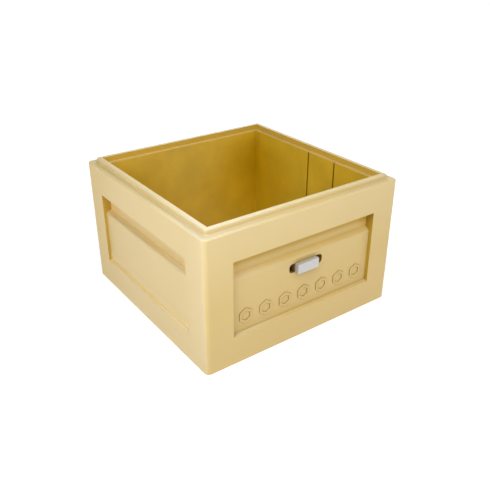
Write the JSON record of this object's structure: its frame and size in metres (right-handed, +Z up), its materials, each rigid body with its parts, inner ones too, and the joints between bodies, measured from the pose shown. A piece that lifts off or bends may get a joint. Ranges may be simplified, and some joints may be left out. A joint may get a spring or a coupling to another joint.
{
  "type": "hive box",
  "caption": "Square deep insulated hive box, open top and bottom, with a stacking lip, ledge for frames, sunk hand grips and a plugged entrance slot.",
  "frame": {"origin": "centre of the base, on the surface that the box stands on", "axes": "+Z up through the open top; -Y out of the wall with the entrance slot; +X to the right as seen facing that wall"},
  "size_m": [0.5, 0.5018, 0.31],
  "materials": {
    "casing": "moulded plastic, fine matt texture, cream yellow",
    "lining": "moulded plastic, matt, cream yellow",
    "rests": "extruded plastic strip, matt, cream yellow",
    "insulation": "expanded foam board",
    "screws": "zinc-plated steel",
    "plug": "matt pale grey plastic"
  },
  "bodies": {
    "box": {"outer_shell": "casing", "inner_liner": "lining", "liner_joint_strip": "lining", "base_ring": "casing", "base_screws": "screws", "insulation_front": "insulation", "insulation_right": "insulation", "insulation_back": "insulation", "insulation_left": "insulation", "frame_rest_front": "rests", "frame_rest_right": "rests", "frame_rest_back": "rests", "frame_rest_left": "rests", "entrance_sleeve": "lining"},
    "plug": {"entrance_plug": "plug"}
  },
  "joints": [
    {"name": "plug_slide", "type": "slide", "parent": "box", "child": "plug", "axis": [0, -1, 0], "range_m": [0, 0.06]}
  ]
}
